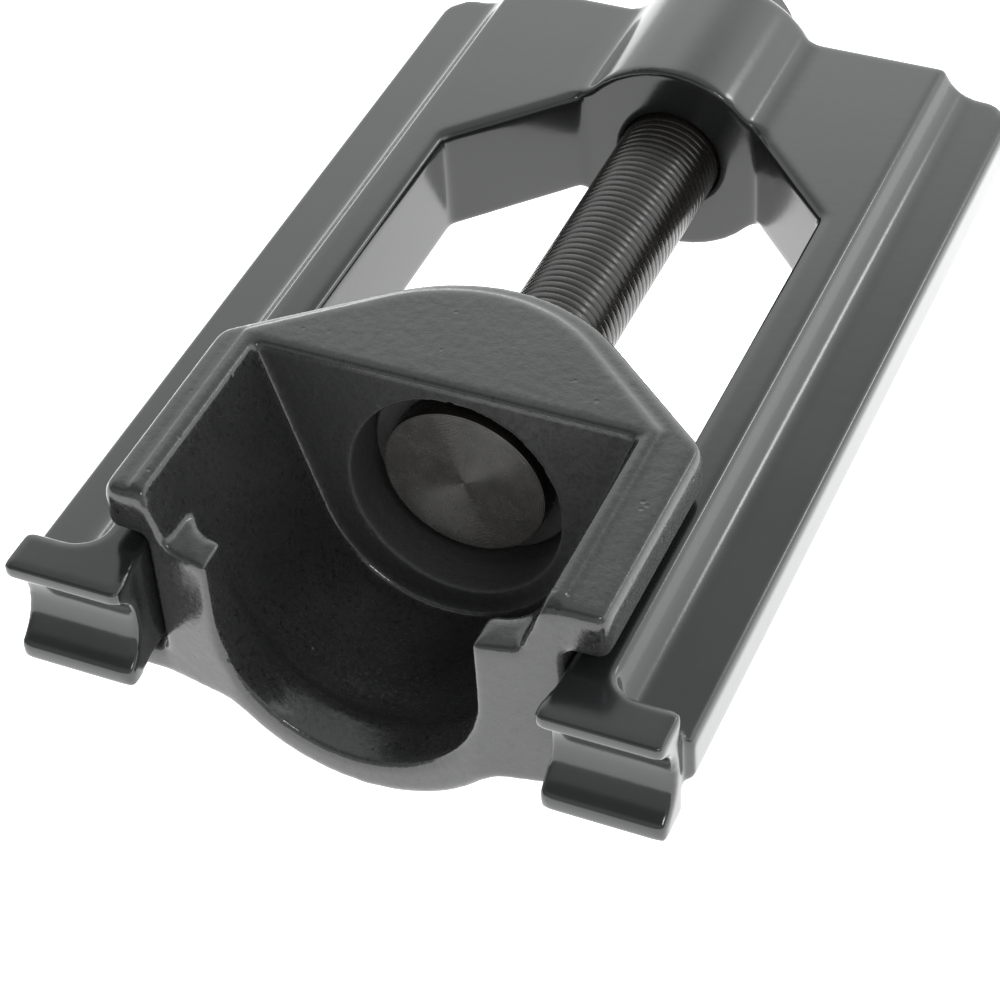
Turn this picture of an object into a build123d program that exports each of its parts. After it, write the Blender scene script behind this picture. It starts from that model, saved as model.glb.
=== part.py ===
from build123d import *
import math
import os

os.makedirs("parts", exist_ok=True)

# Screw-driven joint puller: a forged frame with two grooved jaws, a cast receiver
# block that slides on the frame's rails, and a forcing screw that draws the block
# back towards the bridge.
# Millimetres, +Z up.  The origin lies on the screw axis, in the plane of the jaw
# lips.  +Y runs along the screw from the jaws to the bridge.

# ---- frame ----
RAIL_IN = 47.9            # inner face of each rail
RAIL_OUT = 57.6           # outer edge of each rail's top
RAIL_HALF = 14.2          # half height of rails, jaws and bridge
FLANGE_OUT = 76.2         # outermost edge of the side flanges
FLANGE_ROOT = 7.1         # half thickness of a flange where the hollow step ends
FLANGE_TIP = 6.2          # half thickness of a flange at its outer edge
TIP_ROUND = 1.8           # rounding of the outer edge
STEP_WALL = (1.6, 2.6)    # run and drop of the steep part of the step from rail to flange
STEP_RUN = 8.8            # width of the whole step
FLANGE_CORNER = 8.0       # rounding of the flange's far corner, seen from above
FAR_FACE = 233.8          # back of the bridge
BRIDGE_FACE = 194.0       # front of the bridge, inside the window
WINDOW_TURN = 167.6       # where the window starts to narrow
WINDOW_NECK = 22.6        # half width of the window at the bridge
WINDOW_ROUND = 3.0
EDGE_SOFT = 1.6           # softened forging edges

JAW_OUT = 74.2
JAW_IN = 46.6
JAW_TAPER = 4.0           # where the inner face of a jaw starts to open out to the rail
JAW_TAPER_END = 10.4
JAW_BACK = 11.4           # back of a jaw, where the hollow behind it starts
JAW_RELIEF = 8.0          # radius of the hollow between jaw and rail
GROOVE_R = 11.0           # hooking groove across the front of a jaw
GROOVE_DEPTH = 6.6
GROOVE_RISE = 0.6
LIP_ROUND = 1.2

BOSS_R = 26.0             # round boss that the screw passes through
BOSS_BLEND = 9.0          # hollow blend between boss and bridge
BOSS_END = 237.0
BOSS_END_ROUND = 2.6

# ---- forcing screw ----
SCREW_R = 12.7
PITCH = 2.1167
THREAD_DEPTH = 0.9
THREAD_GAP = 0.54          # width of a groove at the crests, in pitches
THREAD_FLANK = 0.24        # width of one flank, in pitches
THREAD_START = 96.0
THREAD_END = 236.8
FIT = 0.06                # radial clearance of the turning fits
HEAD_R = 19.4
HEAD_FACE = 69.6
HEAD_BACK = 76.44
HEAD_EDGE = 0.8
RELIEF_R = 11.0
RELIEF_END = 241.0
HEX_FLATS = 19.0
HEX_END = 258.5
HEX_EDGE_R = 9.6          # radius left on the hex's bevelled end
COUNTERSINK = 1.0

# ---- receiver block ----
BLOCK_TOP = 29.5
BLOCK_LOW = 24.2          # depth of the legs below the screw axis
CHANNEL_HALF = 17.0       # half height of the channels that straddle the rails
BLOCK_OUT = 56.8          # half width over the legs
LEG_END = 15.3            # front of the legs
NOSE = 11.6               # front of the round receiver wall
NOSE_FLAT = 28.0          # half width of the flat part of the front
SHOULDER = 69.9           # where the sides turn into the arched back
ARCH_R = 42.0
ARCH_TOP = 104.4
SHOULDER_ROUND = 5.0
SLIDE_GAP = 0.3           # side play between block and rails
BULGE_R = 38.5            # outside of the round receiver wall
BULGE_BLEND = 9.0
POCKET_R = 32.0
POCKET_TOP = 45.2         # half width of the pocket at the top of the block
WALL_FRONT = 9.4          # thickness of the front wall
WALL_TOP_Y = 67.6         # pocket's back wall at the top of the block
WALL_AXIS_Y = 64.7        # the same wall at the height of the screw axis
MOUTH_R = 30.2            # round mouth in the front wall
CORE_SHIFT = -2.0         # pocket and mouth sit off the screw axis, as the sand core did
HORN_ROUND = 8.0          # hollow between the front wall and the pocket's sides
LEDGE = 16.0              # top of the front wall
LEG_ROUND = 2.6
RIM_ROUND = 2.2
PAD = 0.8                 # height of the raised pad round the pocket
PAD_OUT = 48.4
PAD_SHOULDER = 70.6
PAD_ARCH_R = 37.6
PAD_TOP = 99.8
POCKET_EDGE = 1.8         # rounding of the pocket's top edge
SEAT_R = 25.2             # recess that holds the screw's head
SEAT_FLOOR = 79.5

# ---- small pieces ----
WASHER_R = 24.6
WASHER_T = 3.0
RING_R = 17.4
RING_T = 2.0
RING_GROOVE_R = 11.4
RING_GAP = 4.0            # opening between the ends of the ring
RING_Y = 90.2
BACK_RECESS_R = 19.5      # recess in the block's back that clears the ring
BACK_RECESS_Y = 90.0


def across(y):
    """Plane square to the screw at a distance y from the jaw lips."""
    return Plane(origin=(0, y, 0), x_dir=(1, 0, 0), z_dir=(0, -1, 0))


def rod(y0, y1, radius):
    """Round bar along the screw axis."""
    with BuildPart(mode=Mode.PRIVATE) as bar:
        with BuildSketch(across(y0)):
            Circle(radius)
        extrude(amount=y0 - y1)
    return bar.part


# ------------------------------------------------------------------ frame
with BuildPart() as frame:
    # rails and bridge
    with BuildSketch(Plane.XY) as plan:
        with BuildLine():
            Polyline(
                (-RAIL_OUT, JAW_BACK),
                (-RAIL_OUT, FAR_FACE),
                (RAIL_OUT, FAR_FACE),
                (RAIL_OUT, JAW_BACK),
                (RAIL_IN, JAW_BACK),
                (RAIL_IN, WINDOW_TURN),
                (WINDOW_NECK, BRIDGE_FACE),
                (-WINDOW_NECK, BRIDGE_FACE),
                (-RAIL_IN, WINDOW_TURN),
                (-RAIL_IN, JAW_BACK),
                close=True,
            )
        make_face()
        turns = [v for v in plan.vertices() if JAW_BACK < v.Y < FAR_FACE]
        fillet(turns, WINDOW_ROUND)
    extrude(amount=RAIL_HALF, both=True)
    window_rim = frame.edges().filter_by(GeomType.LINE).filter_by(
        lambda e: abs(e.center().Z) > RAIL_HALF - 0.1
        and abs(e.center().X) < RAIL_IN + 0.1
        and JAW_BACK + 1 < e.center().Y < FAR_FACE - 1
    )
    fillet(window_rim, EDGE_SOFT)

    # flange along the outside of each rail, with a hollow step down from the rail
    for side in (-1, 1):
        with BuildPart(mode=Mode.PRIVATE) as flange:
            with BuildSketch(across(JAW_BACK)) as section:
                wall_foot = (RAIL_OUT + STEP_WALL[0], RAIL_HALF - STEP_WALL[1])
                step_foot = (RAIL_OUT + STEP_RUN, FLANGE_ROOT)
                run = step_foot[0] - wall_foot[0]
                fall = wall_foot[1] - step_foot[1]
                hollow_r = (run**2 + fall**2) / (2 * fall)
                half_turn = math.asin(run / hollow_r) / 2
                middle = (
                    step_foot[0] - hollow_r * math.sin(half_turn),
                    step_foot[1] + hollow_r * (1 - math.cos(half_turn)),
                )
                with BuildLine():
                    for up in (-1, 1):
                        Line((RAIL_OUT - 2, 0), (RAIL_OUT - 2, up * RAIL_HALF))
                        Line((RAIL_OUT - 2, up * RAIL_HALF), (RAIL_OUT, up * RAIL_HALF))
                        Line((RAIL_OUT, up * RAIL_HALF), (wall_foot[0], up * wall_foot[1]))
                        ThreePointArc(
                            (wall_foot[0], up * wall_foot[1]),
                            (middle[0], up * middle[1]),
                            (step_foot[0], up * step_foot[1]),
                        )
                        Line((step_foot[0], up * step_foot[1]), (FLANGE_OUT, up * FLANGE_TIP))
                        Line((FLANGE_OUT, up * FLANGE_TIP), (FLANGE_OUT, 0))
                make_face()
                fillet([v for v in section.vertices() if v.X > FLANGE_OUT - 0.1 and abs(v.Y) > 1], TIP_ROUND)
            extrude(amount=JAW_BACK - FAR_FACE)
            with BuildSketch(Plane.XY) as shape_from_above:
                with Locations((RAIL_OUT - 3, JAW_BACK - 1)):
                    Rectangle(FLANGE_OUT - RAIL_OUT + 3, FAR_FACE - JAW_BACK + 1, align=(Align.MIN, Align.MIN))
                corner = shape_from_above.vertices().sort_by(Axis.Y)[-2:].sort_by(Axis.X)[-1]
                fillet(corner, FLANGE_CORNER)
            extrude(amount=RAIL_HALF + 1, both=True, mode=Mode.INTERSECT)
        add(flange.part if side > 0 else mirror(flange.part, about=Plane.YZ, mode=Mode.PRIVATE))

    # jaws, with a hooking groove across the front of each
    with BuildPart(mode=Mode.PRIVATE) as jaws:
        with BuildSketch(Plane.YZ) as hook:
            Rectangle(JAW_BACK + JAW_RELIEF, 2 * RAIL_HALF, align=(Align.MIN, Align.CENTER))
            with Locations((GROOVE_DEPTH - GROOVE_R, GROOVE_RISE)):
                Circle(GROOVE_R, mode=Mode.SUBTRACT)
            fillet([v for v in hook.vertices() if v.Y < LIP_ROUND], LIP_ROUND)
        extrude(amount=JAW_OUT, both=True)
        with BuildSketch(Plane.XY) as jaw_plan:
            for side in (-1, 1):
                with BuildLine():
                    back_rail = (side * RAIL_OUT, JAW_BACK + JAW_RELIEF)
                    middle = (
                        side * (RAIL_OUT + JAW_RELIEF * (1 - math.cos(math.pi / 4))),
                        JAW_BACK + JAW_RELIEF * (1 - math.sin(math.pi / 4)),
                    )
                    back_jaw = (side * (RAIL_OUT + JAW_RELIEF), JAW_BACK)
                    Polyline(
                        back_rail,
                        (side * RAIL_IN, JAW_BACK + JAW_RELIEF),
                        (side * RAIL_IN, JAW_TAPER_END),
                        (side * JAW_IN, JAW_TAPER),
                        (side * JAW_IN, 0),
                        (side * JAW_OUT, 0),
                        (side * JAW_OUT, JAW_BACK),
                        back_jaw,
                    )
                    ThreePointArc(back_jaw, middle, back_rail)
                make_face()
            fillet([v for v in jaw_plan.vertices() if v.Y < 0.1 or abs(v.X) > JAW_OUT - 0.1], EDGE_SOFT)
        extrude(amount=RAIL_HALF + 1, both=True, mode=Mode.INTERSECT)
    add(jaws.part)

    # boss for the screw, blended into both faces of the bridge
    with BuildSketch(across(BRIDGE_FACE)) as boss_section:
        Circle(BOSS_R)
        Rectangle(2 * (BOSS_R + BOSS_BLEND), 2 * RAIL_HALF)
        joins = [v for v in boss_section.vertices() if abs(v.X) < BOSS_R]
        fillet(joins, BOSS_BLEND)
    extrude(amount=BRIDGE_FACE - FAR_FACE)
    add(rod(BRIDGE_FACE, BOSS_END, BOSS_R))
    fillet(frame.edges().filter_by(GeomType.CIRCLE).sort_by(Axis.Y)[-1], BOSS_END_ROUND)

    # screw hole with a bevelled mouth at both ends
    add(rod(BRIDGE_FACE - 1, BOSS_END + 1, SCREW_R + FIT), mode=Mode.SUBTRACT)
    mouths = frame.edges().filter_by(GeomType.CIRCLE).filter_by(
        lambda e: abs(e.radius - SCREW_R - FIT) < 0.01
    )
    chamfer(mouths, COUNTERSINK)
frame.part.label = "frame"
export_step(frame.part, "parts/frame.step")


# --------------------------------------------------------- receiver block
def pocket_profile():
    """Round-bottomed pocket section with straight sides leaning outwards."""
    reach = math.hypot(POCKET_TOP, BLOCK_TOP)
    lean = math.atan2(BLOCK_TOP, POCKET_TOP) - math.acos(POCKET_R / reach)
    touch = (POCKET_R * math.cos(lean), POCKET_R * math.sin(lean))
    rise = 4.0
    spread = rise * math.tan(-lean)
    top = (POCKET_TOP + spread, BLOCK_TOP + rise)
    Line((-top[0], top[1]), (-touch[0], touch[1]))
    ThreePointArc((-touch[0], touch[1]), (0, -POCKET_R), touch)
    Line(touch, top)
    Line(top, (-top[0], top[1]))


def arch_touch(half_width, shoulder, radius, top):
    """Point where the straight shoulder of an outline meets its arched back."""
    middle = top - radius
    span = math.hypot(half_width, shoulder - middle)
    bearing = math.atan2(shoulder - middle, half_width) + math.acos(radius / span)
    return (radius * math.cos(bearing), middle + radius * math.sin(bearing))


with BuildPart() as receiver_block:
    # section of the body: square shoulders with a round bulge underneath
    body_top = BLOCK_TOP - PAD
    with BuildSketch(across(NOSE)) as body_section:
        Circle(BULGE_R)
        with Locations((0, -BLOCK_LOW)):
            Rectangle(2 * BLOCK_OUT, body_top + BLOCK_LOW, align=(Align.CENTER, Align.MIN))
        with Locations((0, body_top)):
            Rectangle(2 * BLOCK_OUT, BULGE_R, align=(Align.CENTER, Align.MIN), mode=Mode.SUBTRACT)
        fillet([v for v in body_section.vertices() if abs(v.X) < BULGE_R and v.Y < 0], BULGE_BLEND)
    extrude(amount=NOSE - ARCH_TOP)
    # outline seen from above
    arch_side = arch_touch(BLOCK_OUT, SHOULDER, ARCH_R, ARCH_TOP)
    with BuildSketch(Plane.XY) as outline:
        with BuildLine():
            Polyline(
                (-arch_side[0], arch_side[1]),
                (-BLOCK_OUT, SHOULDER),
                (-BLOCK_OUT, LEG_END),
                (-RAIL_IN, LEG_END),
                (-NOSE_FLAT, NOSE),
                (NOSE_FLAT, NOSE),
                (RAIL_IN, LEG_END),
                (BLOCK_OUT, LEG_END),
                (BLOCK_OUT, SHOULDER),
                arch_side,
            )
            ThreePointArc(arch_side, (0, ARCH_TOP), (-arch_side[0], arch_side[1]))
        make_face()
        fillet([v for v in outline.vertices() if abs(v.Y - SHOULDER) < 0.1], SHOULDER_ROUND)
        fillet([v for v in outline.vertices() if abs(v.X) > RAIL_IN + 1 and v.Y < LEG_END + 1], LEG_ROUND)
        fillet([v for v in outline.vertices() if abs(abs(v.X) - NOSE_FLAT) < 0.1], BULGE_BLEND)
    extrude(amount=BULGE_R + 1, both=True, mode=Mode.INTERSECT)
    rim = receiver_block.faces().sort_by(Axis.Z)[-1].edges()
    fillet(rim, RIM_ROUND)

    # raised pad on the top face, round the pocket
    pad_side = arch_touch(PAD_OUT, PAD_SHOULDER, PAD_ARCH_R, PAD_TOP)
    with BuildSketch(Plane.XY.offset(body_top)):
        with BuildLine(Location((CORE_SHIFT, 0, 0))):
            Polyline(
                (-pad_side[0], pad_side[1]),
                (-PAD_OUT, PAD_SHOULDER),
                (-PAD_OUT, LEG_END + RIM_ROUND),
                (PAD_OUT, LEG_END + RIM_ROUND),
                (PAD_OUT, PAD_SHOULDER),
                pad_side,
            )
            ThreePointArc(pad_side, (0, PAD_TOP), (-pad_side[0], pad_side[1]))
        make_face()
    extrude(amount=PAD)

    # side channels that run on the rails
    for side in (-1, 1):
        with BuildSketch(across(NOSE - 1)):
            with Locations((side * (RAIL_IN - SLIDE_GAP + BLOCK_OUT / 2), 0)):
                Rectangle(BLOCK_OUT, 2 * CHANNEL_HALF)
        extrude(amount=NOSE - ARCH_TOP - 2, mode=Mode.SUBTRACT)

    # pocket, its back wall leaning with the casting draft
    with BuildPart(mode=Mode.PRIVATE) as hollow:
        with BuildSketch(across(NOSE)):
            with BuildLine():
                pocket_profile()
            make_face()
        extrude(amount=NOSE - ARCH_TOP)
        with BuildSketch(Plane.YZ):
            with BuildLine():
                draft = (WALL_TOP_Y - WALL_AXIS_Y) / BLOCK_TOP
                high = BLOCK_TOP + 10
                low = -POCKET_R - 4
                Polyline(
                    (WALL_AXIS_Y + draft * high, high),
                    (WALL_AXIS_Y + draft * low, low),
                    (NOSE - 5, low),
                    (NOSE - 5, high),
                    close=True,
                )
            make_face()
        extrude(amount=BLOCK_OUT, both=True, mode=Mode.INTERSECT)
        # the front wall stays in place below its ledge
        with BuildSketch(Plane.XY.offset(LEDGE)) as inner_front:
            with BuildLine():
                Polyline(
                    (-BLOCK_OUT, NOSE - 5),
                    (-BLOCK_OUT, LEG_END + WALL_FRONT + 4),
                    (-RAIL_IN, LEG_END + WALL_FRONT),
                    (-NOSE_FLAT, NOSE + WALL_FRONT),
                    (NOSE_FLAT, NOSE + WALL_FRONT),
                    (RAIL_IN, LEG_END + WALL_FRONT),
                    (BLOCK_OUT, LEG_END + WALL_FRONT + 4),
                    (BLOCK_OUT, NOSE - 5),
                    close=True,
                )
            make_face()
            fillet([v for v in inner_front.vertices() if abs(abs(v.X) - NOSE_FLAT) < 0.1], BULGE_BLEND)
        extrude(amount=-LEDGE - BULGE_R, mode=Mode.SUBTRACT)
        wall_foot = hollow.edges().filter_by(
            lambda e: e.center().Y < LEG_END + WALL_FRONT + 1 and e.bounding_box().min.Z < LEDGE - 1
        )
        fillet(wall_foot, HORN_ROUND)
    add(hollow.part.moved(Location((CORE_SHIFT, 0, 0))), mode=Mode.SUBTRACT)
    pocket_rim = receiver_block.edges().filter_by(GeomType.LINE).filter_by(
        lambda e: e.center().Z > BLOCK_TOP - 0.1
        and abs(e.center().X - CORE_SHIFT) < PAD_OUT - 1
        and LEG_END + RIM_ROUND + 1 < e.center().Y < WALL_TOP_Y + 1
    )
    fillet(pocket_rim, POCKET_EDGE)

    # round mouth through the front wall
    with BuildSketch(across(NOSE - 5)):
        with Locations((CORE_SHIFT, 0)):
            Circle(MOUTH_R)
            Rectangle(2 * MOUTH_R, BLOCK_TOP, align=(Align.CENTER, Align.MIN))
    extrude(amount=-5 - WALL_FRONT - 8, mode=Mode.SUBTRACT)

    # recess for the screw's head, hole for its shank, recess for the ring
    add(rod(NOSE + WALL_FRONT + 10, SEAT_FLOOR, SEAT_R), mode=Mode.SUBTRACT)
    add(rod(SEAT_FLOOR - 1, ARCH_TOP + 1, SCREW_R + FIT), mode=Mode.SUBTRACT)
    add(rod(BACK_RECESS_Y, ARCH_TOP + 1, BACK_RECESS_R), mode=Mode.SUBTRACT)
receiver_block.part.label = "receiver_block"
export_step(receiver_block.part, "parts/receiver_block.step")


# ----------------------------------------------------------- forcing screw
with BuildPart() as forcing_screw:
    with BuildSketch(Plane.XY):
        with BuildLine():
            points = [
                (0, HEAD_FACE),
                (HEAD_R - HEAD_EDGE, HEAD_FACE),
                (HEAD_R, HEAD_FACE + HEAD_EDGE),
                (HEAD_R, HEAD_BACK),
                (SCREW_R, HEAD_BACK),
                (SCREW_R, RING_Y),
                (RING_GROOVE_R, RING_Y),
                (RING_GROOVE_R, RING_Y + RING_T),
                (SCREW_R, RING_Y + RING_T),
            ]
            turns_count = int((THREAD_END - THREAD_START) / PITCH)
            for turn in range(turns_count):
                y = THREAD_START + turn * PITCH
                points.append((SCREW_R, y))
                points.append((SCREW_R - THREAD_DEPTH, y + THREAD_FLANK * PITCH))
                points.append((SCREW_R - THREAD_DEPTH, y + (THREAD_GAP - THREAD_FLANK) * PITCH))
                points.append((SCREW_R, y + THREAD_GAP * PITCH))
            points.append((SCREW_R, THREAD_END))
            points.append((RELIEF_R, THREAD_END + SCREW_R - RELIEF_R))
            points.append((RELIEF_R, RELIEF_END))
            points.append((0, RELIEF_END))
            Polyline(*points, close=True)
        make_face()
    revolve(axis=Axis.Y)
    # hexagon that the wrench drives
    with BuildSketch(across(RELIEF_END)):
        RegularPolygon(HEX_FLATS / 2, 6, major_radius=False)
    extrude(amount=RELIEF_END - HEX_END)
    # bevel on the hexagon's end
    with BuildSketch(Plane.XY):
        with BuildLine():
            Polyline(
                (HEX_EDGE_R, HEX_END + 0.5),
                (HEX_EDGE_R - 0.3, HEX_END + 0.5),
                (HEX_EDGE_R - 0.3, HEX_END),
                (HEX_EDGE_R + 3.0, HEX_END - 1.4),
                (HEX_EDGE_R + 3.0, HEX_END + 0.5),
                close=True,
            )
        make_face()
    revolve(axis=Axis.Y, mode=Mode.SUBTRACT)
forcing_screw.part.label = "forcing_screw"
export_step(forcing_screw.part, "parts/forcing_screw.step")


# ----------------------------------------------------------- thrust washer
with BuildPart() as thrust_washer:
    with BuildSketch(across(SEAT_FLOOR - WASHER_T)):
        Circle(WASHER_R)
        Circle(SCREW_R + FIT, mode=Mode.SUBTRACT)
    extrude(amount=-WASHER_T)
    rims = thrust_washer.edges().filter_by(GeomType.CIRCLE)
    chamfer(rims.filter_by(lambda e: e.radius > WASHER_R - 0.1), 0.5)
thrust_washer.part.label = "thrust_washer"
export_step(thrust_washer.part, "parts/thrust_washer.step")


# ---------------------------------------------------------- retaining ring
with BuildPart() as retaining_ring:
    with BuildSketch(across(RING_Y)):
        Circle(RING_R)
        Circle(RING_GROOVE_R, mode=Mode.SUBTRACT)
        with Locations((0, -RING_R)):
            Rectangle(RING_GAP, 2 * RING_R, mode=Mode.SUBTRACT)
    extrude(amount=-RING_T)
retaining_ring.part.label = "retaining_ring"
export_step(retaining_ring.part, "parts/retaining_ring.step")
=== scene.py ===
import math

import bmesh
import bpy
import numpy as np
from mathutils import Matrix, Vector


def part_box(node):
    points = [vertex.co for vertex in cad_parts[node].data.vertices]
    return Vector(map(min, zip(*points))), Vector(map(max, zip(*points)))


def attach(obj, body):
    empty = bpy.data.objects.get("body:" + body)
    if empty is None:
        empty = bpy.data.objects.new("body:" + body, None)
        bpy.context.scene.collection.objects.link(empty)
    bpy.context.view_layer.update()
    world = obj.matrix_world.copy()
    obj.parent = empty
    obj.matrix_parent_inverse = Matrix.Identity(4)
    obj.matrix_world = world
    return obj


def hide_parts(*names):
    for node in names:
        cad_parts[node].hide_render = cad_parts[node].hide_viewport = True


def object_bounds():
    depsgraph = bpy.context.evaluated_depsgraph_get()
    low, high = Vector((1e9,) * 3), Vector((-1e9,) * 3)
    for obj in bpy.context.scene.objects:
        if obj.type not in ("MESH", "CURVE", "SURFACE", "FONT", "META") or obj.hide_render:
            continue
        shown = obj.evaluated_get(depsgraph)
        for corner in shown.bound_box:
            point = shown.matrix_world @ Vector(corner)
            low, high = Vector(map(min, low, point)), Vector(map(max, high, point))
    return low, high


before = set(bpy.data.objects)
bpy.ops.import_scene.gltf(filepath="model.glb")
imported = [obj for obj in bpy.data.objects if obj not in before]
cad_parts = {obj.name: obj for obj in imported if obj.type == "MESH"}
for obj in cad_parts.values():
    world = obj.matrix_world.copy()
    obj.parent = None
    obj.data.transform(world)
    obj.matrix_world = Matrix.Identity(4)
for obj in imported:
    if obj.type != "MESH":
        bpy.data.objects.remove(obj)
cad_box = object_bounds()

MM = 0.001

# ---- forcing screw ----
SHANK_R = 12.7 * MM
PITCH = 2.1167 * MM
THREAD_DEPTH = 0.18 * MM       # shallower than the CAD's, so that the turns show only faintly
THREAD_START = 96 * MM
THREAD_END = 236.8 * MM
RING_GROOVE_R = 11.4 * MM
RELIEF_R = 11.0 * MM
RELIEF_END = 241 * MM
HEX_FLATS = 19 * MM
HEX_EDGE_R = 9.6 * MM

# ---- receiver block ----
WALL_LEAN = 0.098              # draft of the pocket's back wall
WALL_ROOT = 64.1 * MM          # just in front of that wall, at the height of the screw axis
POCKET_HALF = 46.5 * MM        # half width of the pocket at the top
SEAT_R = 25.6 * MM             # just outside the recess that holds the screw's head

# ---- studio ----
COOL_WHITE = (0.97, 1.0, 0.99, 1)
PART_MIDDLE = Vector((0, 0.1, 0))


# ------------------------------------------------------------------ camera
def look_from(azimuth, elevation, roll, distance, target, lens):
    """Camera round a target; azimuth 0 looks along +Y, angles in degrees."""
    a, e, r = (math.radians(x) for x in (azimuth, elevation, roll))
    forward = Vector((-math.sin(a) * math.cos(e), math.cos(a) * math.cos(e), -math.sin(e)))
    right = Vector((math.cos(a), math.sin(a), 0))
    up = right.cross(forward)
    turned_right = right * math.cos(r) + up * math.sin(r)
    turned_up = up * math.cos(r) - right * math.sin(r)
    turn = Matrix((turned_right, turned_up, -forward)).transposed()
    data = bpy.data.cameras.new("camera")
    data.sensor_width = 36
    data.lens = lens
    data.clip_end = 20
    camera = bpy.data.objects.new("camera", data)
    camera.matrix_world = Matrix.Translation(Vector(target) - forward * distance) @ turn.to_4x4()
    bpy.context.collection.objects.link(camera)
    bpy.context.scene.camera = camera


look_from(26.6, 43.24, -4.45, 0.64739, (0.00966, 0.06756, 0), 107.03)


# --------------------------------------------------------------- materials
class Nodes:
    """Short way to write a node tree."""

    def __init__(self, name, data=None):
        self.material = data or bpy.data.materials.new(name)
        self.material.use_nodes = True
        self.tree = self.material.node_tree
        self.shader = self.tree.nodes.get("Principled BSDF")
        self.place = self.add("ShaderNodeTexCoord").outputs["Object"]

    def add(self, kind, **settings):
        node = self.tree.nodes.new(kind)
        for key, value in settings.items():
            setattr(node, key, value)
        return node

    def feed(self, socket, value):
        if isinstance(value, bpy.types.NodeSocket):
            self.tree.links.new(value, socket)
        else:
            socket.default_value = value

    def noise(self, scale, detail=3, rough=0.55):
        node = self.add("ShaderNodeTexNoise")
        self.feed(node.inputs["Vector"], self.place)
        self.feed(node.inputs["Scale"], scale)
        self.feed(node.inputs["Detail"], detail)
        self.feed(node.inputs["Roughness"], rough)
        return node.outputs["Fac"]

    def spots(self, scale):
        node = self.add("ShaderNodeTexVoronoi")
        self.feed(node.inputs["Vector"], self.place)
        self.feed(node.inputs["Scale"], scale)
        return node.outputs["Distance"]

    def span(self, value, low, high, to_low=0.0, to_high=1.0, smooth=False):
        node = self.add("ShaderNodeMapRange", clamp=True)
        if smooth:
            node.interpolation_type = "SMOOTHSTEP"
        self.feed(node.inputs["Value"], value)
        for key, number in (("From Min", low), ("From Max", high), ("To Min", to_low), ("To Max", to_high)):
            self.feed(node.inputs[key], number)
        return node.outputs["Result"]

    def maths(self, operation, a, b=0.0):
        node = self.add("ShaderNodeMath", operation=operation)
        self.feed(node.inputs[0], a)
        self.feed(node.inputs[1], b)
        return node.outputs[0]

    def axes(self):
        node = self.add("ShaderNodeSeparateXYZ")
        self.feed(node.inputs[0], self.place)
        return node.outputs["X"], node.outputs["Y"], node.outputs["Z"]

    def radius(self):
        """Distance from the screw axis."""
        x, _, z = self.axes()
        squares = self.maths("ADD", self.maths("MULTIPLY", x, x), self.maths("MULTIPLY", z, z))
        return self.maths("SQRT", squares)

    def mix(self, share, a, b):
        node = self.add("ShaderNodeMix", data_type="RGBA")
        self.feed(node.inputs["Factor"], share)
        self.feed(node.inputs["A"], a)
        self.feed(node.inputs["B"], b)
        return node.outputs["Result"]

    def bump(self, height, distance, strength=1.0, base=None):
        node = self.add("ShaderNodeBump")
        self.feed(node.inputs["Height"], height)
        self.feed(node.inputs["Distance"], distance)
        self.feed(node.inputs["Strength"], strength)
        if base is not None:
            self.feed(node.inputs["Normal"], base)
        return node.outputs["Normal"]

    def finish(self, **sockets):
        for key, value in sockets.items():
            self.feed(self.shader.inputs[key.replace("_", " ")], value)
        return self.material


def grey(value, warm=0.0):
    return (value * (1 + warm), value, value * (1 - warm), 1)


def forged_paint():
    """Thick gloss black over a shot-blasted forging."""
    n = Nodes("forged_black_paint")
    cloud = n.noise(28, 4)
    peel = n.noise(420, 2, 0.5)
    grain = n.noise(1500, 2, 0.6)
    dust = n.span(n.spots(1300), 0.0, 0.14, 1.0, 0.0)
    colour = n.mix(n.span(cloud, 0.35, 0.7), grey(0.011, -0.03), grey(0.016, -0.03))
    rough = n.maths("ADD", n.span(cloud, 0.3, 0.7, 0.12, 0.18), n.maths("MULTIPLY", dust, 0.08))
    normal = n.bump(peel, 0.00003, 0.4)
    normal = n.bump(grain, 0.000006, 0.4, normal)
    return n.finish(Base_Color=colour, Roughness=rough, Normal=normal, Specular_IOR_Level=0.62)


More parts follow.
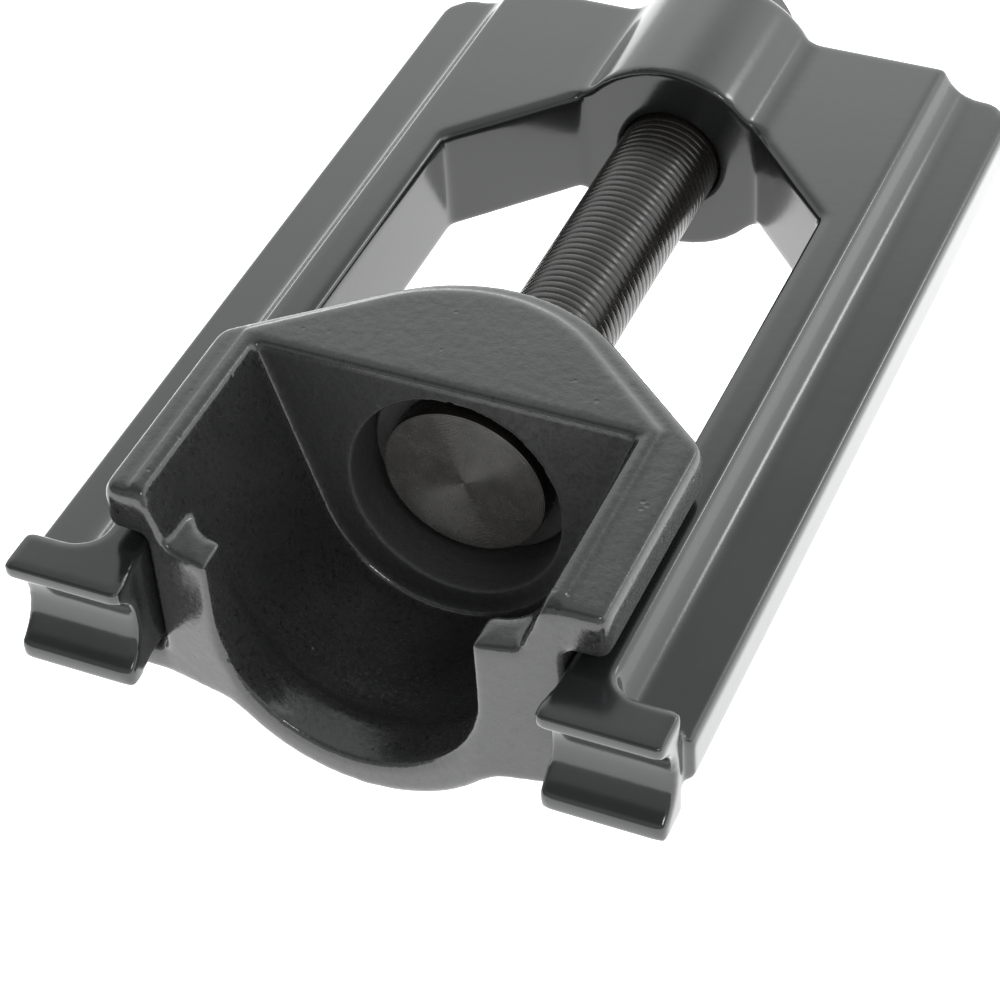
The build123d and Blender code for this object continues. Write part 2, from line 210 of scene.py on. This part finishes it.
def cast_paint():
    """Gloss black over a sand casting: orange peel, pits and small lumps, with painted shade on the
    pocket's back wall.
    """
    n = Nodes("cast_black_paint")
    cloud = n.noise(35, 4)
    lumps = n.noise(620, 3, 0.55)
    peel = n.noise(1700, 3, 0.6)
    pits = n.span(n.spots(330), 0.05, 0.28, -1.0, 0.0, smooth=True)
    few = n.span(n.noise(120, 1), 0.58, 0.74)
    pits = n.maths("MULTIPLY", pits, few)
    colour = n.mix(n.span(cloud, 0.35, 0.7), grey(0.019), grey(0.026))
    colour = n.mix(n.span(n.noise(800, 4, 0.7), 0.52, 0.72), colour, grey(0.006))
    rough = n.span(n.noise(90, 5, 0.6), 0.3, 0.7, 0.12, 0.2)
    rough = n.maths("ADD", rough, n.span(n.noise(900, 3, 0.7), 0.45, 0.7, 0.0, 0.16))
    # rough sand-cast back wall of the pocket, coloured near black as painted shade in the recess, and the
    # bare machined seat in it, lighter partly as bare steel and partly as painted light in its deep shade
    x, y, z = n.axes()
    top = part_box("receiver_block")[1][2]
    depth = n.maths("SUBTRACT", y, n.maths("MULTIPLY", z, WALL_LEAN))
    wall = n.span(depth, WALL_ROOT, WALL_ROOT + 0.4 * MM)
    wall = n.maths("MULTIPLY", wall, n.span(z, top - 2.4 * MM, top - 1.4 * MM, 1.0, 0.0))
    beside = n.maths("ABSOLUTE", x)
    wall = n.maths("MULTIPLY", wall, n.span(beside, POCKET_HALF, POCKET_HALF + 0.7 * MM, 1.0, 0.0))
    seat = n.maths("MULTIPLY", wall, n.span(n.radius(), SEAT_R, SEAT_R + 0.3 * MM, 1.0, 0.0))
    rough = n.maths("ADD", rough, n.maths("MULTIPLY", wall, 0.5))
    # painted shade: the back wall takes a near-black colour; the seat's lighter grey is bare steel and
    # painted light together
    colour = n.mix(wall, colour, n.mix(seat, grey(0.008), grey(0.036)))
    sand = n.maths("MULTIPLY", n.noise(420, 3, 0.6), n.span(wall, 0.0, 1.0, 0.12, 1.0))
    normal = n.bump(sand, 0.0005, 0.5)
    normal = n.bump(lumps, 0.00007, 0.5, normal)
    normal = n.bump(peel, 0.00003, 0.5, normal)
    normal = n.bump(pits, 0.00022, 0.6, normal)
    return n.finish(Base_Color=colour, Roughness=rough, Normal=normal, Specular_IOR_Level=0.62)


def ground_steel(name, dark, light):
    """Dark steel with fine concentric marks round the screw axis."""
    n = Nodes(name)
    wobble = n.maths("MULTIPLY", n.noise(60, 2), 0.0004)
    marks = n.maths("SINE", n.maths("MULTIPLY", n.maths("ADD", n.radius(), wobble), 9000))
    colour = n.mix(n.span(n.noise(70, 4), 0.3, 0.7), dark, light)
    rough = n.span(n.noise(300, 3), 0.3, 0.7, 0.34, 0.5)
    return n.finish(Base_Color=colour, Roughness=rough, Metallic=0.5, Normal=n.bump(marks, 0.00002, 0.5))


def screw_steel():
    """Oiled black-oxide steel: rubbed brown on the crests, turned rings on the head's face."""
    n = Nodes("oiled_black_steel")
    _, y, _ = n.axes()
    radius = n.radius()
    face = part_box("forcing_screw")[0][1]
    on_face = n.span(y, face + 0.3 * MM, face + 0.6 * MM, 1.0, 0.0)
    crest = n.span(radius, SHANK_R - 0.7 * MM, SHANK_R, smooth=True)
    worn = n.maths("MULTIPLY", crest, n.span(n.noise(160, 4), 0.45, 0.8))
    colour = n.mix(worn, grey(0.011, 0.12), grey(0.018, 0.14))
    bare = n.mix(n.span(n.noise(240, 4), 0.3, 0.7), grey(0.052, 0.04), grey(0.074, 0.05))
    colour = n.mix(on_face, colour, bare)
    rough = n.span(n.noise(420, 4), 0.3, 0.7, 0.20, 0.30)
    wobble = n.maths("MULTIPLY", n.noise(300, 3), 0.0001)
    rings = n.maths("SINE", n.maths("MULTIPLY", n.maths("ADD", radius, wobble), 15000))
    rings = n.maths("MULTIPLY", rings, on_face)
    normal = n.bump(n.noise(1400, 3), 0.00002, 0.3)
    normal = n.bump(rings, 0.00004, 0.8, normal)
    return n.finish(Base_Color=colour, Roughness=rough, Metallic=0.15, Normal=normal)


def floor_paint():
    """Pale studio paper that glows, so that it stays white behind the part."""
    n = Nodes("pale_floor")
    colour = n.mix(n.span(n.noise(3, 2), 0.3, 0.7), grey(0.86), grey(0.90))
    return n.finish(Base_Color=colour, Roughness=0.75, Emission_Color=grey(1.0), Emission_Strength=1.8)


# ------------------------------------------------------------------ meshes
def link(name, mesh):
    piece = bpy.data.objects.new(name, mesh)
    bpy.context.collection.objects.link(piece)
    return piece


def applied(piece):
    """Bake a piece's modifiers into its mesh."""
    graph = bpy.context.evaluated_depsgraph_get()
    mesh = bpy.data.meshes.new_from_object(piece.evaluated_get(graph))
    piece.modifiers.clear()
    piece.data = mesh
    return mesh


def relax(mesh, passes, freedom):
    """Laplacian smoothing; freedom is 0 to 1 for each point."""
    count = len(mesh.vertices)
    points = np.empty(count * 3)
    mesh.vertices.foreach_get("co", points)
    points = points.reshape(-1, 3)
    pairs = np.empty(len(mesh.edges) * 2, dtype=np.int64)
    mesh.edges.foreach_get("vertices", pairs)
    a, b = pairs.reshape(-1, 2).T
    valence = np.bincount(pairs, minlength=count)[:, None].clip(1)
    share = 0.6 * freedom(points)[:, None]
    for _ in range(passes):
        total = np.stack(
            [np.bincount(a, points[b, k], count) + np.bincount(b, points[a, k], count) for k in range(3)],
            axis=1,
        )
        points += share * (total / valence - points)
    mesh.vertices.foreach_set("co", points.ravel())
    mesh.polygons.foreach_set("use_smooth", np.ones(len(mesh.polygons), dtype=bool))
    mesh.update()


def everywhere(points):
    return np.ones(len(points))


def soft_copy(node, name, voxel, passes, freedom=everywhere, lumps=0.0):
    """Copy of a CAD node with worn round edges, as a casting or a forging has them."""
    piece = link(name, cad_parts[node].data.copy())
    skin = piece.modifiers.new("skin", "REMESH")
    skin.mode = "VOXEL"
    skin.voxel_size = voxel
    relax(applied(piece), 3, everywhere)
    relax(piece.data, passes, freedom)
    if lumps:
        texture = bpy.data.textures.new("sand_mould", "CLOUDS")
        texture.noise_scale = 2.6 * MM
        texture.noise_depth = 3
        rough = piece.modifiers.new("lumps", "DISPLACE")
        rough.texture = texture
        rough.strength = lumps
        rough.mid_level = 0.5
        applied(piece)
    return piece


def revolve(bm, profile, segments=96):
    """Closed surface of revolution round the screw axis; profile is (y, radius) from end to end."""
    rings = []
    for y, radius in profile:
        if radius == 0:
            rings.append([bm.verts.new((0, y, 0))])
            continue
        angles = [2 * math.pi * i / segments for i in range(segments)]
        rings.append([bm.verts.new((radius * math.sin(t), y, radius * math.cos(t))) for t in angles])
    for low, high in zip(rings, rings[1:]):
        for i in range(segments):
            j = (i + 1) % segments
            corners = [low[i % len(low)], low[j % len(low)], high[j % len(high)], high[i % len(high)]]
            corners = list(dict.fromkeys(corners))
            if len(corners) > 2:
                bm.faces.new(corners)


def add_thread(bm, start, end, radius, depth, pitch, segments=64):
    """Right-handed helical thread between two plain ends; its depth fades in and out."""
    profile = ((0.0, 0.0), (0.44, 0.0), (0.56, 0.18), (0.72, 1.0), (0.88, 0.18))
    turns = int((end - start) / pitch) + 2
    rows = []
    for row in range(-len(profile), turns * len(profile)):
        turn, step = divmod(row, len(profile))
        ring = []
        for i in range(segments):
            t = 2 * math.pi * i / segments
            y = start + pitch * (turn + profile[step][0] + i / segments)
            y = min(max(y, start), end)
            fade = min(1.0, (y - start) / pitch, (end - y) / pitch)
            r = radius - depth * profile[step][1] * fade
            ring.append(bm.verts.new((r * math.sin(t), y, r * math.cos(t))))
        rows.append(ring)
    for k in range(len(rows) - 1):
        for i in range(segments - 1):
            bm.faces.new((rows[k][i], rows[k][i + 1], rows[k + 1][i + 1], rows[k + 1][i]))
        if k >= len(profile):
            back = k - len(profile)
            bm.faces.new((rows[back][-1], rows[k][0], rows[k + 1][0], rows[back + 1][-1]))


def add_hexagon(bm, start, end, flats, edge_radius):
    """Drive hexagon with its end bevelled by turning."""
    corner = flats / math.sqrt(3)
    rings = []
    drop = (corner - edge_radius) * math.tan(math.radians(30))
    sides = 6 * 8
    for y_flat, limit in ((start, corner), (end - drop, corner), (end, edge_radius)):
        ring = []
        for i in range(sides):
            t = 2 * math.pi * i / sides
            off = (t + math.pi / 6) % (math.pi / 3) - math.pi / 6
            reach = min(flats / 2 / math.cos(off), limit)
            y = y_flat
            if y_flat == end - drop:
                y = end - (reach - edge_radius) * math.tan(math.radians(30))
            ring.append(bm.verts.new((reach * math.sin(t), y, reach * math.cos(t))))
        rings.append(ring)
    for low, high in zip(rings, rings[1:]):
        for i in range(sides):
            j = (i + 1) % sides
            bm.faces.new((low[i], low[j], high[j], high[i]))
    for ring, y in ((rings[0], start), (rings[-1], end)):
        middle = bm.verts.new((0, y, 0))
        for i in range(sides):
            bm.faces.new((ring[i], ring[(i + 1) % sides], middle))


def make_screw():
    low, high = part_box("forcing_screw")
    ring_low, ring_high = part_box("retaining_ring")
    washer_low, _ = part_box("thrust_washer")
    face, head_radius = low[1], high[0]
    soft = 0.25 * MM
    bm = bmesh.new()
    revolve(
        bm,
        (
            (face + 0.25 * MM, 0),
            (face + 0.2 * MM, 0.5 * MM),
            (face, 0.8 * MM),
            (face, head_radius * 0.35),
            (face, head_radius * 0.7),
            (face, head_radius - 0.9 * MM),
            (face + 0.1 * MM, head_radius - 0.5 * MM),
            (face + 0.35 * MM, head_radius - 0.15 * MM),
            (face + 0.8 * MM, head_radius),
            (washer_low[1] - 0.4 * MM, head_radius),
            (washer_low[1] - 0.06 * MM, head_radius - 0.4 * MM),
            (washer_low[1] - 0.06 * MM, SHANK_R + 0.3 * MM),
            (washer_low[1] + 0.3 * MM, SHANK_R),
            (ring_low[1] - soft, SHANK_R),
            (ring_low[1], SHANK_R - soft),
            (ring_low[1], RING_GROOVE_R),
            (ring_high[1], RING_GROOVE_R),
            (ring_high[1], SHANK_R - soft),
            (ring_high[1] + soft, SHANK_R),
            (THREAD_START, SHANK_R),
        ),
    )
    add_thread(bm, THREAD_START, THREAD_END, SHANK_R, THREAD_DEPTH, PITCH)
    revolve(
        bm,
        (
            (THREAD_END, SHANK_R),
            (THREAD_END + 0.5 * MM, SHANK_R - 0.15 * MM),
            (THREAD_END + SHANK_R - RELIEF_R, RELIEF_R),
            (RELIEF_END, RELIEF_R),
            (RELIEF_END + 0.02 * MM, 0),
        ),
    )
    add_hexagon(bm, RELIEF_END, high[1], HEX_FLATS, HEX_EDGE_R)
    bmesh.ops.remove_doubles(bm, verts=bm.verts, dist=1e-6)
    bmesh.ops.recalc_face_normals(bm, faces=bm.faces)
    mesh = bpy.data.meshes.new("forcing_screw_turned")
    bm.to_mesh(mesh)
    bm.free()
    mesh.polygons.foreach_set("use_smooth", np.ones(len(mesh.polygons), dtype=bool))
    mesh.set_sharp_from_angle(angle=math.radians(32))
    return link("turned_screw", mesh)


def dress(piece, material, body=None, node=None):
    """Give a piece its material and, for a new piece, its body, and hide the CAD node it stands for."""
    piece.data.materials.clear()
    piece.data.materials.append(material)
    if body:
        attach(piece, body)
        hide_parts(node)


def clear_of_seat(points):
    """Machined recess, shank hole and ring recess keep their edges; the pad's low step stays crisp."""
    radius = np.hypot(points[:, 0], points[:, 2])
    machined = (radius < 27 * MM) & (points[:, 1] > 60 * MM)
    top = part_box("receiver_block")[1][2]
    pad = points[:, 2] > top - 1.3 * MM
    inner = np.abs(points[:, 0]) < 46 * MM
    corner = inner & (points[:, 1] - WALL_LEAN * points[:, 2] > 62 * MM) & (points[:, 1] < 69 * MM)
    return np.where(machined, 0.0, np.where(pad, 0.22, np.where(corner, 0.3, 1.0)))


dress(soft_copy("frame", "forged_frame", 0.6 * MM, 6), forged_paint(), "frame", "frame")
cast_block = soft_copy("receiver_block", "cast_receiver", 0.6 * MM, 20, clear_of_seat, 0.06 * MM)
dress(cast_block, cast_paint(), "block", "receiver_block")
dress(make_screw(), screw_steel(), "screw", "forcing_screw")
dress(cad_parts["thrust_washer"], ground_steel("hardened_washer", grey(0.07), grey(0.1)))
dress(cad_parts["retaining_ring"], ground_steel("spring_steel", grey(0.08), grey(0.12)))


# ------------------------------------------------------- floor and lights
def make_floor(z, half):
    mesh = bpy.data.meshes.new("floor")
    corners = [(-half, -half, z), (half, -half, z), (half, half, z), (-half, half, z)]
    mesh.from_pydata(corners, [], [(0, 1, 2, 3)])
    floor = link("floor", mesh)
    floor.data.materials.append(floor_paint())


def soft_light(name, radiance, size, toward, distance, along):
    """Softbox of a given radiance, seen from the part in one direction, its long side along another."""
    aim = Vector(toward).normalized()
    side = Vector(along).cross(aim).normalized()
    data = bpy.data.lights.new(name, "AREA")
    data.shape = "RECTANGLE"
    data.size, data.size_y = size
    data.energy = radiance * math.pi * size[0] * size[1]
    light = bpy.data.objects.new(name, data)
    turn = Matrix((side, aim.cross(side), aim)).transposed().to_4x4()
    light.matrix_world = Matrix.Translation(PART_MIDDLE + aim * distance) @ turn
    bpy.context.collection.objects.link(light)


def make_tent():
    """Light tent: bright low walls behind, dim on the left, dark towards the front and overhead."""
    world = bpy.data.worlds.new("studio")
    n = Nodes("studio", world)
    parts = n.add("ShaderNodeSeparateXYZ")
    n.feed(parts.inputs[0], n.add("ShaderNodeTexCoord").outputs["Generated"])
    x, y, z = parts.outputs["X"], parts.outputs["Y"], parts.outputs["Z"]
    level = n.span(z, 0.55, 0.74, 2.35, 0.95, smooth=True)
    level = n.maths("MULTIPLY", level, n.span(x, -0.75, -0.25, 0.58, 1.0, smooth=True))
    level = n.maths("MULTIPLY", level, n.span(y, -0.45, 0.15, 0.32, 1.0, smooth=True))
    background = n.tree.nodes["Background"]
    n.feed(background.inputs["Color"], COOL_WHITE)
    n.feed(background.inputs["Strength"], level)
    bpy.context.scene.world = world


make_floor(cad_box[0][2] - 0.0002, 6)
make_tent()
# a strip behind on the right draws the long highlight on the screw and the boss
soft_light("strip", 11, (0.16, 0.36), (0.5007, 0.7009, 0.5078), 2.0, (0.492, -0.713, 0.499))
soft_light("key", 16, (0.35, 0.35), (0.48, -0.53, 0.70), 2.0, (0, 0, 1))

bpy.context.scene.view_settings.view_transform = "Standard"

bpy.context.view_layer.update()
